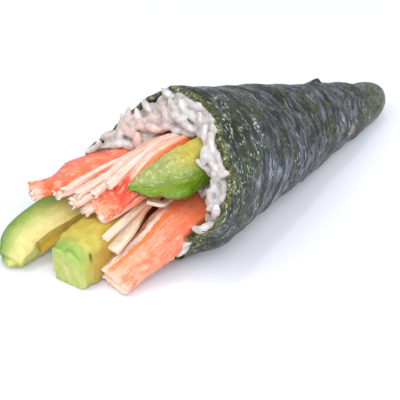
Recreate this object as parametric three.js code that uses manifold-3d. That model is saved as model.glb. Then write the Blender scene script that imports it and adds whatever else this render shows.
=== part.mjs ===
// Temaki hand roll: a cone of nori packed with rice, with avocado, crab stick and
// pale strips of crab standing out of its mouth.
// Millimetres, +Z up. The roll lies on the table (z = 0), its tip towards +X and its
// mouth towards -X. The origin is on the table, under the roll.

import * as THREE from 'three';
import { mergeVertices } from 'three/addons/utils/BufferGeometryUtils.js';
import Module from 'manifold-3d';

const wasm = await Module();
wasm.setup();

const { degToRad } = THREE.MathUtils;

// ---- Driving dimensions ---------------------------------------------------

const APEX_X = 88; // where the sides of the cone would meet
const HALF_ANGLE = degToRad(10.6);
const TIP_DISTANCE = 28.6; // the blunt tip, measured along the axis from the apex
const SHOULDER_DISTANCE = 42; // where the rounded tip becomes the straight cone
const NORI_LAYER = 0.45; // one sheet of moist nori
const FLATTENING = 0.6; // how far the soft roll settles on the table
const GAP = 0.3; // clearance that touching pieces keep
const GRAIN_LENGTH = 6.6;
const GRAIN_WIDTH = 3.2;
const GRAIN_COUNT = 130;

// Where the torn edge of the mouth lies: degrees round the axis (0 on top, 90 towards
// -Y) and distance along the axis from the apex.
const RIM = [
  [-165, 145],
  [-125, 149],
  [-92, 152],
  [-77, 142],
  [-59, 137],
  [-32, 134],
  [-10, 141],
  [25, 141],
  [48, 149],
  [72, 148.5],
  [92, 156],
  [125, 151],
  [160, 145.5],
];

// ---- Small helpers --------------------------------------------------------

const SLOPE = Math.tan(HALF_ANGLE);
const AXIS = new THREE.Vector3(-Math.cos(HALF_ANGLE), 0, Math.sin(HALF_ANGLE));
const AXIS_UP = new THREE.Vector3(Math.sin(HALF_ANGLE), 0, Math.cos(HALF_ANGLE));
const TOWARDS_FRONT = new THREE.Vector3(0, -1, 0);
const TURN = Math.PI * 2;

function randomFrom(seed) {
  let state = seed;
  return () => {
    state = (state + 0x6d2b79f5) | 0;
    let t = Math.imul(state ^ (state >>> 15), 1 | state);
    t = (t + Math.imul(t ^ (t >>> 7), 61 | t)) ^ t;
    return ((t ^ (t >>> 14)) >>> 0) / 4294967296;
  };
}

function ease(t) {
  const s = THREE.MathUtils.clamp(t, 0, 1);
  return s * s * (3 - 2 * s);
}

// A closed curve round the cone, eased between [degrees, value] pairs.
function roundCone(pairs, angle) {
  const degrees = THREE.MathUtils.radToDeg(angle);
  const count = pairs.length;
  for (let i = 0; i < count; i++) {
    const [from, start] = pairs[i];
    const [to, end] = pairs[(i + 1) % count];
    const span = THREE.MathUtils.euclideanModulo(to - from, 360);
    const past = THREE.MathUtils.euclideanModulo(degrees - from, 360);
    if (past <= span) return THREE.MathUtils.lerp(start, end, ease(past / span));
  }
  return pairs[0][1];
}

// A point of the cone: distance along the axis from the apex, angle round it, radius.
function conePoint(distance, angle, radius, lowest = 0) {
  const point = new THREE.Vector3(APEX_X, 0, -FLATTENING)
    .addScaledVector(AXIS, distance)
    .addScaledVector(AXIS_UP, radius * Math.cos(angle))
    .addScaledVector(TOWARDS_FRONT, radius * Math.sin(angle));
  point.z = Math.max(point.z, lowest);
  return point;
}

// One closed mesh from rings of points; a ring of one point is a pole. Past the ring
// named turnDiagonals the quads are split along their other diagonal.
function closedSurface(rings, turnDiagonals = Infinity) {
  const positions = [];
  const starts = [];
  for (const ring of rings) {
    starts.push(positions.length / 3);
    for (const point of ring) positions.push(point.x, point.y, point.z);
  }
  const indices = [];
  for (let r = 0; r + 1 < rings.length; r++) {
    const [a, b] = [starts[r], starts[r + 1]];
    const sides = Math.max(rings[r].length, rings[r + 1].length);
    for (let i = 0; i < sides; i++) {
      const j = (i + 1) % sides;
      if (rings[r].length === 1) indices.push(a, b + j, b + i);
      else if (rings[r + 1].length === 1) indices.push(a + i, a + j, b);
      else if (r < turnDiagonals) indices.push(a + i, a + j, b + j, a + i, b + j, b + i);
      else indices.push(a + i, a + j, b + i, a + j, b + j, b + i);
    }
  }
  const geometry = new THREE.BufferGeometry();
  geometry.setAttribute('position', new THREE.Float32BufferAttribute(positions, 3));
  geometry.setIndex(indices);
  return facingOut(geometry);
}

function signedVolume(geometry) {
  const position = geometry.attributes.position;
  const corner = [new THREE.Vector3(), new THREE.Vector3(), new THREE.Vector3()];
  let volume = 0;
  for (let i = 0; i < geometry.index.count; i += 3) {
    corner.forEach((c, k) => c.fromBufferAttribute(position, geometry.index.getX(i + k)));
    volume += corner[0].dot(corner[1].clone().cross(corner[2])) / 6;
  }
  return volume;
}

function facingOut(geometry) {
  if (signedVolume(geometry) < 0) geometry.index.array.reverse();
  return geometry;
}

function toSolid(geometry) {
  const bare = geometry.clone();
  bare.deleteAttribute('normal');
  bare.deleteAttribute('uv');
  const merged = mergeVertices(bare, 1e-4);
  return new wasm.Manifold(
    new wasm.Mesh({
      numProp: 3,
      vertProperties: new Float32Array(merged.attributes.position.array),
      triVerts: new Uint32Array(merged.index.array),
    }),
  );
}

function toGeometry(solid) {
  const mesh = solid.getMesh();
  const geometry = new THREE.BufferGeometry();
  geometry.setAttribute('position', new THREE.BufferAttribute(mesh.vertProperties, 3));
  geometry.setIndex(new THREE.BufferAttribute(mesh.triVerts, 1));
  return geometry;
}

const model = new THREE.Group();

function addPiece(name, geometry, finish) {
  const mesh = new THREE.Mesh(geometry, new THREE.MeshStandardMaterial(finish));
  mesh.name = name;
  model.add(mesh);
}

// ---- Nori -----------------------------------------------------------------

const NORI_SIDES = 44;
const NORI_ROWS = 18;
const TIP_ROWS = 3;
const SEAM_END = 0.997; // the last column of the sheet, as a share of a turn
const SEAM_SWEEP = 0.9; // degrees that the outer edge turns for each millimetre
const FLAP_DISTANCE = 62; // where the last corner of the sheet stands off the cone
const FLAP_ANGLE = -42;
const FLAP_LIFT = 1.5;
const FLAP_LENGTH = 4;
const FLAP_SPREAD = 9; // degrees
const WINDING_FADE = 15; // the step of the last turn fades over this length of the tip
const TEAR_DEPTH = 0.7; // how uneven the cut edge of the sheet is
const CREASE_DEPTH = 0.5;
const CREASE_SPACING = 12;
const DENT_SPACING = 43;
const CREASE_FADE = 20;
const TUCK_DEPTH = 8; // how far the lip is pressed in beside the front crab stick
const TUCK_LENGTH = 10;
const TUCK_START = 93; // degrees
const TUCK_RISE = 25;
const TUCK_FALL = 40;
const TUCK_END = 165;

// The outer edge of the wound sheet: from the far side of the mouth to its last corner.
function seamAngle(distance) {
  return degToRad(FLAP_ANGLE - SEAM_SWEEP * Math.max(distance - FLAP_DISTANCE, 0));
}

// Creases run round the cone, and slow dents cross them. They fade out at the tip and
// are pressed flat where the roll lies on the table.
function crease(distance, angle) {
  const fade = ease((distance - TIP_DISTANCE) / CREASE_FADE) * ease(2 * (1 + Math.cos(angle)));
  const swerve = 1.4 * Math.sin(2 * angle + 0.7);
  const rings = Math.sin((distance * TURN) / CREASE_SPACING + swerve);
  const dents = Math.sin((distance * TURN) / DENT_SPACING + 3 * angle + 1);
  return fade * CREASE_DEPTH * (0.44 * rings + 0.56 * dents);
}

function coneRadius(distance) {
  return distance * SLOPE;
}

function flapLift(distance, angle) {
  const along = (distance - FLAP_DISTANCE) / FLAP_LENGTH;
  const round = THREE.MathUtils.radToDeg(angle - seamAngle(distance)) / FLAP_SPREAD;
  return FLAP_LIFT * Math.exp(-along * along - round * round);
}

// How much of the outermost layer lies at a turn past the seam: the sheet winds inwards.
function windingLift(distance, turn) {
  return NORI_LAYER * (1 - turn) * ease((distance - SHOULDER_DISTANCE) / WINDING_FADE);
}

function rimDistance(angle) {
  return roundCone(RIM, angle);
}

// The lip of the mouth curls in against the front crab stick, low on the front side.
function lipTuck(distance, angle) {
  const degrees = THREE.MathUtils.euclideanModulo(THREE.MathUtils.radToDeg(angle), 360);
  const round = ease((degrees - TUCK_START) / TUCK_RISE) * ease((TUCK_END - degrees) / TUCK_FALL);
  const inFromRim = (rimDistance(angle) - distance) / TUCK_LENGTH;
  const share = 1 - THREE.MathUtils.clamp(inFromRim, 0, 1);
  return TUCK_DEPTH * round * share ** 1.5;
}

function noriInnerRadius(distance, angle) {
  const tuck = lipTuck(distance, angle);
  return coneRadius(distance) + crease(distance, angle) - tuck - 2 * NORI_LAYER;
}

// Clear of the nori however deep its creases go.
function clearRadius(distance, angle) {
  const tuck = lipTuck(distance, angle);
  return coneRadius(distance) - tuck - CREASE_DEPTH - 2 * NORI_LAYER - GAP;
}

function makeNori() {
  const random = randomFrom(11);
  const turns = [];
  for (let i = 0; i < NORI_SIDES; i++) turns.push(i / NORI_SIDES);
  turns.push(SEAM_END);
  const tears = turns.map(() => (random() - 0.5) * 2 * TEAR_DEPTH);

  function ring(fraction, outer) {
    return turns.map((turn, i) => {
      const nearly = THREE.MathUtils.lerp(SHOULDER_DISTANCE, RIM[0][1], fraction);
      const angle = seamAngle(nearly) + turn * TURN;
      const place = THREE.MathUtils.lerp(SHOULDER_DISTANCE, rimDistance(angle) + tears[i], fraction);
      if (!outer) return conePoint(place, angle, noriInnerRadius(place, angle), 2 * NORI_LAYER);
      const radius = coneRadius(place) + crease(place, angle) + windingLift(place, turn);
      const lift = flapLift(place, angle) - lipTuck(place, angle);
      return conePoint(place, angle, radius + lift);
    });
  }

  function tipRing(step, outer) {
    const inset = outer ? 0 : 2 * NORI_LAYER;
    const start = TIP_DISTANCE + inset;
    const quarter = (step / TIP_ROWS) * (Math.PI / 2);
    const place = THREE.MathUtils.lerp(start, SHOULDER_DISTANCE, 1 - Math.cos(quarter));
    const radius = (coneRadius(SHOULDER_DISTANCE) - inset) * Math.sin(quarter);
    if (step === 0) return [conePoint(start, 0, 0)];
    return turns.map((turn) =>
      conePoint(place, seamAngle(SHOULDER_DISTANCE) + turn * TURN, radius, inset),
    );
  }

  const outer = [];
  const inner = [];
  for (let step = 0; step < TIP_ROWS; step++) {
    outer.push(tipRing(step, true));
    inner.push(tipRing(step, false));
  }
  for (let row = 0; row <= NORI_ROWS; row++) {
    outer.push(ring(row / NORI_ROWS, true));
    inner.push(ring(row / NORI_ROWS, false));
  }
  return closedSurface([...outer, ...inner.reverse()], outer.length);
}

addPiece('nori', makeNori(), { color: '#3b4538', roughness: 0.55, metalness: 0 });

// ---- Fillings -------------------------------------------------------------

const END_BULGE = 0.4; // how far the middle of a cut end stands out

// A filling is lofted from its free end to its buried end. Each station gives the
// centre, the width, the height and the turn of the section about the run, in degrees,
// and how far its sides slant along the run. The outline is the section in half widths
// (towards -Y) and half heights (up).
function loft({ outline, tension = 0.35, stations, rings, sides, wobble = 0, seed = 1 }, grow = 0) {
  const path = new THREE.CatmullRomCurve3(
    stations.map((s) => new THREE.Vector3(...s.at)),
    false,
    'centripetal',
  );
  const section = new THREE.CatmullRomCurve3(
    outline.map(([u, v]) => new THREE.Vector3(u, v, 0)),
    true,
    'catmullrom',
    tension,
  ).getSpacedPoints(sides);
  section.pop();
  const random = randomFrom(seed);
  const phase = [random(), random(), random()].map((r) => r * TURN);

  const result = [];
  const last = stations.length - 1;
  for (let r = 0; r <= rings; r++) {
    const t = r / rings;
    const leg = Math.min(Math.floor(t * last), last - 1);
    const mix = ease(t * last - leg);
    const value = (key) =>
      THREE.MathUtils.lerp(stations[leg][key] ?? 0, stations[leg + 1][key] ?? 0, mix);
    const centre = path.getPoint(t);
    const run = path.getTangent(t);
    const front = new THREE.Vector3().crossVectors(run, new THREE.Vector3(0, 0, 1)).normalize();
    const up = new THREE.Vector3().crossVectors(front, run);
    const turn = degToRad(value('turn'));
    if (r === 0) centre.addScaledVector(run, -grow);
    if (r === rings) centre.addScaledVector(run, grow);
    const ring = section.map(({ x, y }, i) => {
      const around = (i / sides) * TURN;
      const waves =
        Math.sin(2 * around + 5 * t + phase[0]) +
        Math.sin(3 * around - 9 * t + phase[1]) +
        0.7 * Math.sin(around + 21 * t + phase[2]);
      const bump = 1 + wobble * waves;
      const u = x * (value('width') / 2 + grow) * bump;
      const v = y * (value('height') / 2 + grow) * bump;
      const point = centre
        .clone()
        .addScaledVector(front, u * Math.cos(turn) - v * Math.sin(turn))
        .addScaledVector(up, u * Math.sin(turn) + v * Math.cos(turn))
        .addScaledVector(run, value('slant') * x);
      point.z = Math.max(point.z, grow > 0 ? -1 : 0);
      return point;
    });
    const middle = ring.reduce((sum, p) => sum.add(p), new THREE.Vector3()).divideScalar(sides);
    if (r === 0) result.push([middle.clone().addScaledVector(run, -END_BULGE)]);
    result.push(ring);
    if (r === rings) result.push([middle.clone().addScaledVector(run, END_BULGE)]);
  }
  return closedSurface(result);
}

// Section outlines, as shares of half the width (towards -Y) and half the height (up).
const SLAB = [
  [-1, 0],
  [-0.86, 0.85],
  [0, 1],
  [0.86, 0.85],
  [1, 0],
  [0.86, -0.85],
  [0, -1],
  [-0.86, -0.85],
];
const LEFT_WEDGE = [
  [-0.75, 0.95],
  [0.15, 0.8],
  [1, 0.4],
  [0.75, -0.8],
  [0, -1],
  [-0.85, -0.65],
  [-1.05, 0.2],
];
const BLOCK_WEDGE = [
  [-1, -0.2],
  [-0.75, 0.85],
  [0.35, 1],
  [0.95, 0.5],
  [1, -0.85],
  [0, -1],
  [-1, -1.1],
];
const LENS = [
  [-0.95, 0.2],
  [-0.3, 0.95],
  [0.5, 0.75],
  [1, 0],
  [0.6, -0.85],
  [-0.3, -1],
];

const AVOCADO_LEFT = {
  outline: LEFT_WEDGE,
  stations: [
    { at: [-94.8, 28.6, 2.8], width: 9.5, height: 6 },
    { at: [-88, 29, 6.4], width: 12.5, height: 11.5 },
    { at: [-75, 26, 10.6], width: 14, height: 12 },
    { at: [-56, 17.5, 14], width: 12, height: 11 },
    { at: [-25, 9, 14], width: 8, height: 7 },
  ],
  rings: 12,
  sides: 14,
  seed: 21,
};

const AVOCADO_MIDDLE = {
  outline: BLOCK_WEDGE,
  stations: [
    { at: [-90.3, 8, 7], width: 11.5, height: 14 },
    { at: [-84, 8.6, 8.2], width: 13.4, height: 16 },
    { at: [-70, 9, 9.5], width: 13.5, height: 16 },
    { at: [-55, 7.5, 11], width: 12, height: 13 },
    { at: [-22, 3, 11], width: 7, height: 8 },
  ],
  rings: 12,
  sides: 14,
  wobble: 0.02,
  seed: 22,
};

const AVOCADO_TOP = {
  outline: LENS,
  stations: [
    { at: [-70.1, 0.9, 29.3], width: 2, height: 2.5 },
    { at: [-64, -2, 29.4], width: 8, height: 10 },
    { at: [-56, -8.2, 32.4], width: 12, height: 15.4 },
    { at: [-45, -10, 33.6], width: 12, height: 15 },
    { at: [-12, -5, 22], width: 7, height: 8 },
  ],
  rings: 14,
  sides: 14,
  seed: 23,
};

const CRAB_FRONT = {
  outline: SLAB,
  stations: [
    { at: [-82.3, -1.8, 2.7], width: 15, height: 5.4 },
    { at: [-70, -4, 8], width: 15.2, height: 6 },
    { at: [-56, -6.5, 14.4], width: 15, height: 6.4 },
    { at: [-20, -5, 17], width: 10, height: 5.5 },
  ],
  rings: 12,
  sides: 14,
  wobble: 0.02,
  seed: 24,
};

const CRAB_LEFT = {
  outline: SLAB,
  stations: [
    { at: [-82.5, 30.3, 21.3], width: 2, height: 6.5 },
    { at: [-78.5, 28, 22], width: 5, height: 4.5 },
    { at: [-75, 25, 23], width: 9, height: 4.5 },
    { at: [-68, 22.5, 24.5], width: 12, height: 5.5 },
    { at: [-54, 16, 24.6], width: 12, height: 6 },
    { at: [-20, 6, 20], width: 7, height: 5 },
  ],
  rings: 15,
  sides: 12,
  wobble: 0.03,
  seed: 25,
};

const CRAB_TOP = {
  outline: SLAB,
  stations: [
    { at: [-74, 12.5, 20], width: 15, height: 3.6, turn: -15, slant: -1.5 },
    { at: [-68.5, 10.5, 22.8], width: 17, height: 6, turn: -8 },
    { at: [-54, 3.8, 33], width: 17, height: 6.5, turn: 25 },
    { at: [-18, 2, 26], width: 8, height: 6, turn: 15 },
  ],
  // Where the stick has come apart: the path of a strand from its free end to its
  // buried end, and its width and height.
  strands: [
    { path: [[-79.5, 22.5, 22], [-71, 17.6, 25], [-60, 11.5, 29]], width: 4.6, height: 2.2 },
    { path: [[-78, 17.2, 20.6], [-71, 13.8, 23.4], [-63, 9.5, 27]], width: 5, height: 2.6 },
    { path: [[-76.8, 13.6, 18.3], [-72, 11.3, 20.6], [-66, 8.5, 23.5]], width: 4, height: 2.6 },
    { path: [[-78.5, 20.5, 23.6], [-69, 15.6, 28], [-57, 9, 32.2]], width: 2.4, height: 1.8 },
    { path: [[-76, 17.2, 23], [-69.2, 13, 26.8], [-61.8, 8.6, 31.8]], width: 4, height: 1.6 },
    { path: [[-73.6, 12.4, 23.6], [-67.8, 9.6, 28.4], [-61.6, 6.4, 33]], width: 4, height: 1.6 },
    { path: [[-70.8, 8.6, 27], [-66.2, 6.4, 30.6], [-60.2, 3.4, 35]], width: 4.2, height: 1.6 },
    { path: [[-75.5, 7.4, 17.6], [-69, 4.3, 20.7], [-62, 0.5, 24.5]], width: 4.4, height: 2.2 },
  ],
  rings: 12,
  sides: 14,
  wobble: 0.02,
  seed: 26,
};

const STRIP_LEFT = {
  outline: SLAB,
  tension: 0.1,
  stations: [
    { at: [-80.4, 1.7, 15.6], width: 2.2, height: 1.4 },
    { at: [-70.8, 1.9, 17.6], width: 2.2, height: 1.4 },
    { at: [-60.8, 1.3, 20.2], width: 2, height: 1.4 },
    { at: [-50, -2, 23], width: 2, height: 1.4 },
  ],
  rings: 7,
  sides: 8,
};

const STRIP_RIGHT = {
  outline: SLAB,
  tension: 0.1,
  stations: [
    { at: [-78.2, 1.2, 10.4], width: 4.8, height: 1.5 },
    { at: [-70.4, 1.2, 14.2], width: 4.4, height: 1.5 },
    { at: [-62.4, 1.2, 18.1], width: 3.4, height: 1.4 },
    { at: [-50, 0, 21.5], width: 2.4, height: 1.4 },
  ],
  rings: 7,
  sides: 8,
};

const STRIP_BACK = {
  outline: SLAB,
  tension: 0.1,
  stations: [
    { at: [-63.3, 0.2, 21.4], width: 1.6, height: 1.6 },
    { at: [-59.9, -4.2, 20.5], width: 2, height: 1.8 },
    { at: [-50, -4.4, 24], width: 2, height: 1.6 },
  ],
  rings: 6,
  sides: 8,
};

const CRAB_FINISH = { color: '#f08a68', roughness: 0.45 };
const TORN_CRAB_FINISH = { color: '#f3c2ae', roughness: 0.5 };
const STRIP_FINISH = { color: '#eedfc8', roughness: 0.5 };
const FILLINGS = [
  ['crab_stick_front', CRAB_FRONT, CRAB_FINISH],
  ['avocado_top', AVOCADO_TOP, { color: '#9cbc4c', roughness: 0.25 }],
  ['avocado_middle', AVOCADO_MIDDLE, { color: '#cdd36a', roughness: 0.35 }],
  ['avocado_left', AVOCADO_LEFT, { color: '#d8dc86', roughness: 0.35 }],
  ['crab_stick_top', CRAB_TOP, TORN_CRAB_FINISH],
  ['crab_stick_left', CRAB_LEFT, CRAB_FINISH],
  ['white_strip_left', STRIP_LEFT, STRIP_FINISH],
  ['white_strip_right', STRIP_RIGHT, STRIP_FINISH],
  ['white_strip_back', STRIP_BACK, STRIP_FINISH],
];

const STRAND_RINGS = 4;
const STRAND_SIDES = 6;
const STRAND_SHARES = [0.9, 1, 0.9]; // of the strand's width and height, along its path
const COARSE_SIDES = 11; // a clearing has fewer faces than its filling,
const CLEARING = 3 * GAP; // and is this much larger all round to hold it

function fillingSolid(shape, grow = 0) {
  let solid = toSolid(loft(shape, grow));
  (shape.strands ?? []).forEach(({ path, width, height }, i) => {
    const strand = {
      outline: SLAB,
      stations: path.map((at, k) => ({
        at,
        width: width * STRAND_SHARES[k],
        height: height * STRAND_SHARES[k],
      })),
      rings: STRAND_RINGS,
      sides: STRAND_SIDES,
      wobble: 0.05,
      seed: shape.seed * 10 + i,
    };
    solid = solid.add(toSolid(loft(strand, grow)));
  });
  return solid;
}

function largestPiece(solid) {
  const pieces = solid.decompose();
  return pieces.reduce((best, piece) => (piece.volume() > best.volume() ? piece : best));
}

// A thick wall where the nori is: fillings that lie against it are pressed flat.
const WALL_THICKNESS = 12;
const WALL_ROWS = 10;

function makeWall() {
  const turns = Array.from({ length: NORI_SIDES }, (_, i) => (i / NORI_SIDES) * TURN);
  function ring(row, radiusAt, lowest) {
    return turns.map((angle) => {
      const edge = rimDistance(angle) + TEAR_DEPTH + GAP;
      const distance = THREE.MathUtils.lerp(SHOULDER_DISTANCE, edge, row / WALL_ROWS);
      return conePoint(distance, angle, radiusAt(distance, angle), lowest);
    });
  }
  const outside = (distance, angle) => clearRadius(distance, angle) + WALL_THICKNESS;
  const rows = Array.from({ length: WALL_ROWS + 1 }, (_, row) => row);
  const inner = rows.map((row) => ring(row, clearRadius, 2 * NORI_LAYER + GAP));
  const outer = rows.map((row) => ring(row, outside, -WALL_THICKNESS));
  const rings = [...inner, ...outer.reverse(), inner[0]];
  return toSolid(closedSurface(rings));
}

// Each filling gives way to the ones laid before it, and the rice to them all.
const wall = makeWall();
const clearings = [];
for (const [name, shape, finish] of FILLINGS) {
  let solid = fillingSolid(shape).subtract(wall);
  for (const clearing of clearings) solid = solid.subtract(clearing);
  const coarse = { ...shape, sides: Math.min(shape.sides, COARSE_SIDES) };
  clearings.push(fillingSolid(coarse, CLEARING));
  addPiece(name, toGeometry(largestPiece(solid)), { ...finish, metalness: 0 });
}
const allClearings = clearings.reduce((sum, clearing) => sum.add(clearing));

// ---- Rice -----------------------------------------------------------------

const RICE_START = 47; // the rice begins this far from the apex
const CORE_SIDES = 28;
const CORE_ROWS = 5;
const CORE_ROUNDING = 1.3;
const CENTRE_DISTANCE = 141;
// How far the rice stays behind the torn edge of the nori: degrees, millimetres.
const RICE_BELOW_RIM = [
  [-150, 9],
  [-112, 0],
  [-50, 0.4],
  [-25, 1.4],
  [10, 1.2],
  [45, 0.2],
  [62, 1],
  [82, 3.6],
  [100, 8],
  [128, 12],
  [150, 12],
  [163, 4],
  [176, 12],
];
const HOLLOW_DEPTH = 6; // the rice sinks towards the fillings on the front side
const HOLLOW_TURN = degToRad(30);
const FACE_SHARES = [0.84, 0.58, 0.3];

// How far along the axis the rice reaches, at an angle and a share of the radius.
function riceFace(angle, share) {
  const edge = rimDistance(angle) - roundCone(RICE_BELOW_RIM, angle);
  const side = Math.max(Math.sin(angle - HOLLOW_TURN), 0);
  const hollow = HOLLOW_DEPTH * side * ease(4 * share * (1 - share));
  return THREE.MathUtils.lerp(CENTRE_DISTANCE, edge, share * share) - hollow;
}

function corePoint(distance, angle, radius) {
  return conePoint(distance, angle, radius, 2 * NORI_LAYER + GAP);
}

function makeCore() {
  const angles = Array.from({ length: CORE_SIDES }, (_, i) => (i / CORE_SIDES) * TURN);
  const rings = [[corePoint(RICE_START, 0, 0)]];
  for (let row = 0; row <= CORE_ROWS; row++) {
    rings.push(
      angles.map((angle) => {
        const edge = riceFace(angle, 1) - CORE_ROUNDING;
        const distance = THREE.MathUtils.lerp(RICE_START + 2, edge, row / CORE_ROWS);
        return corePoint(distance, angle, clearRadius(distance, angle));
      }),
    );
  }
  for (const share of [1, ...FACE_SHARES]) {
    rings.push(
      angles.map((angle) => {
        const distance = riceFace(angle, share);
        const reach = clearRadius(distance, angle) - (share === 1 ? CORE_ROUNDING : 0);
        return corePoint(distance, angle, share * reach);
      }),
    );
  }
  rings.push([corePoint(CENTRE_DISTANCE, 0, 0)]);
  return toSolid(closedSurface(rings));
}

// One grain: five-sided, thickest in the middle, blunt at both ends.
const GRAIN_SIDES = 5;
const GRAIN_RINGS = [
  [-0.39, 0.68],
  [0, 1],
  [0.39, 0.68],
];

function makeGrain(place, length, width) {
  const rings = [[new THREE.Vector3(-length / 2, 0, 0)]];
  for (const [along, share] of GRAIN_RINGS) {
    const ring = [];
    for (let i = 0; i < GRAIN_SIDES; i++) {
      const around = (i / GRAIN_SIDES) * TURN;
      const radius = (share * width) / 2;
      ring.push(
        new THREE.Vector3(along * length, radius * Math.cos(around), radius * Math.sin(around)),
      );
    }
    rings.push(ring);
  }
  rings.push([new THREE.Vector3(length / 2, 0, 0)]);
  return facingOut(closedSurface(rings).applyMatrix4(place));
}

// True where a grain would cut the nori or the table.
function crossesNori(geometry) {
  const position = geometry.attributes.position;
  const apex = new THREE.Vector3(APEX_X, 0, -FLATTENING);
  for (let i = 0; i < position.count; i++) {
    const point = new THREE.Vector3().fromBufferAttribute(position, i);
    if (point.z < 2 * NORI_LAYER + GAP) return true;
    const offset = point.sub(apex);
    const distance = offset.dot(AXIS);
    const up = offset.dot(AXIS_UP);
    const angle = Math.atan2(-offset.y, up);
    const radius = Math.hypot(up, offset.y);
    const rim = rimDistance(angle) + TEAR_DEPTH + GAP;
    if (distance < rim && radius > clearRadius(distance, angle)) return true;
  }
  return false;
}

// Fuses grains to the face of the core, spread evenly: the first ones keep far apart,
// and later ones fill the spaces between them.
const GRAIN_TRIES = 9000;
const WIDEST_SPACING = 5;
const CLOSEST_SPACING = 2.7;
const LEAST_SUNK = 0.12; // how much of a grain lies in the core
const MOST_SUNK = 0.8;

function addGrains(core) {
  const random = randomFrom(7);
  const between = (low, high) => low + (high - low) * random();
  const ahead = new THREE.Quaternion().setFromUnitVectors(new THREE.Vector3(0, 0, 1), AXIS);
  const laid = [];
  let rice = core;
  for (let tries = 0; laid.length < GRAIN_COUNT && tries < GRAIN_TRIES; tries++) {
    const angle = between(-Math.PI, Math.PI);
    const share = Math.sqrt(between(0.05, 1));
    const distance = riceFace(angle, share) + between(-0.4, 0.9);
    const radius = share * (clearRadius(distance, angle) - GRAIN_WIDTH / 2);
    const centre = corePoint(distance, angle, radius);
    const tilt = new THREE.Euler(between(-0.5, 0.5), between(-0.7, 0.7), between(0, TURN), 'ZYX');
    const length = GRAIN_LENGTH * between(0.88, 1.1);
    const width = GRAIN_WIDTH * between(0.9, 1.1);
    const spacing = THREE.MathUtils.lerp(WIDEST_SPACING, CLOSEST_SPACING, tries / GRAIN_TRIES);
    if (laid.some((other) => other.distanceTo(centre) < spacing)) continue;
    const lie = ahead.clone().multiply(new THREE.Quaternion().setFromEuler(tilt));
    const place = new THREE.Matrix4().compose(centre, lie, new THREE.Vector3(1, 1, 1));
    const geometry = makeGrain(place, length, width);
    if (crossesNori(geometry)) continue;
    const grain = toSolid(geometry);
    const sunk = grain.intersect(core).volume() / grain.volume();
    if (sunk < LEAST_SUNK || sunk > MOST_SUNK) continue;
    if (grain.intersect(allClearings).volume() > 0) continue;
    rice = rice.add(grain);
    laid.push(centre);
  }
  return rice;
}

const rice = largestPiece(addGrains(makeCore().subtract(allClearings)));
addPiece('rice', toGeometry(rice), { color: '#e9e8e6', roughness: 0.5, metalness: 0 });

export default model;
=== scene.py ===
"""Temaki hand roll: the finished surfaces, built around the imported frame.

Shapes are worked out in millimetres and set in metres. The roll lies along X with its
mouth towards -X, and the camera looks down on it from the mouth's side.
"""

import math
import random
from collections import namedtuple
from functools import reduce

import bmesh
import bpy
from mathutils import Euler, Matrix, Vector, noise
from mathutils.bvhtree import BVHTree


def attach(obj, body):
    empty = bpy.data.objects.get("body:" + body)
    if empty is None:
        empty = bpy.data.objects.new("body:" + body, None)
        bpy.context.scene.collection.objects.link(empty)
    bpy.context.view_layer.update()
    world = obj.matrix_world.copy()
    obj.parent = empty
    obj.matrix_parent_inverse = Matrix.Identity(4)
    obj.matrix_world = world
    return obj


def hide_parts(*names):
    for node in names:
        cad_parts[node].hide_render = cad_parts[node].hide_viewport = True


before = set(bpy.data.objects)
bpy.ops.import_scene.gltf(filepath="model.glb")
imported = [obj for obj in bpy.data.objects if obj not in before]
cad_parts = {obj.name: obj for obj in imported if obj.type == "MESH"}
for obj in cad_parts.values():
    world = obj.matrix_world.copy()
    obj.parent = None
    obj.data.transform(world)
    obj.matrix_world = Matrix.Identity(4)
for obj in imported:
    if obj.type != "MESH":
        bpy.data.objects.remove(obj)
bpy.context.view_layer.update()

MM = 0.001
TURN = 2 * math.pi

# ---- The cone, as in the frame ----

APEX = Vector((88, 0, -0.6))
HALF_ANGLE = math.radians(10.6)
SLOPE = math.tan(HALF_ANGLE)
AXIS = Vector((-math.cos(HALF_ANGLE), 0, math.sin(HALF_ANGLE)))
AXIS_UP = Vector((math.sin(HALF_ANGLE), 0, math.cos(HALF_ANGLE)))
TOWARDS_FRONT = Vector((0, -1, 0))
TIP_DISTANCE = 30.5
SHOULDER_DISTANCE = 42
NORI_LAYER = 0.45

# The torn edge of the mouth: degrees round the axis (0 on top, 90 in front), distance.
RIM = [
    (-165, 145), (-125, 149), (-92, 152), (-77, 142), (-59, 137), (-32, 134), (-10, 141),
    (25, 141), (48, 149), (72, 148.5), (92, 156), (125, 151), (160, 145.5),
]


def ease(t):
    t = min(max(t, 0.0), 1.0)
    return t * t * (3 - 2 * t)


def rise(value, start, end):
    """Eases from 0 at start to 1 at end, where end may also be the lower one."""
    return ease((value - start) / (end - start))


def hump(value, middle, width):
    """1 at the middle, and fading out to both sides."""
    return math.exp(-((value - middle) / width) ** 2)


def lumps(x, y, z):
    return noise.noise(Vector((x, y, z)))


def ridged(x, y, z):
    return 1 - 2 * abs(lumps(x, y, z))


def blend(a, b, t):
    return a + (b - a) * t


def round_cone(pairs, degrees):
    """The value at an angle round the cone, eased between (degrees, value) pairs."""
    for (start, low), (end, high) in zip(pairs, pairs[1:] + pairs[:1]):
        span = (end - start) % 360
        past = (degrees - start) % 360
        if past <= span:
            return blend(low, high, ease(past / span))
    return pairs[0][1]


def rim_at(angle):
    return round_cone(RIM, math.degrees(angle))


def cone_point(distance, angle, radius, lowest=0.0):
    point = APEX + AXIS * distance
    point += AXIS_UP * radius * math.cos(angle) + TOWARDS_FRONT * radius * math.sin(angle)
    point.z = max(point.z, lowest)
    return point


# ---- Modelling helpers ----

MERGE_DISTANCE = 1e-6
CURVE_STEPS = 40

# A section of a lofted piece: its middle, its width and height, how far it is turned in
# degrees, and how far its right edge runs ahead.
Station = namedtuple("Station", "at width height turn slant", defaults=(0, 0))
NEARBY = 0.002
END_RINGS = 10
BEND_RINGS = 6
THREAD_DRIFT = 0.03


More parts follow.
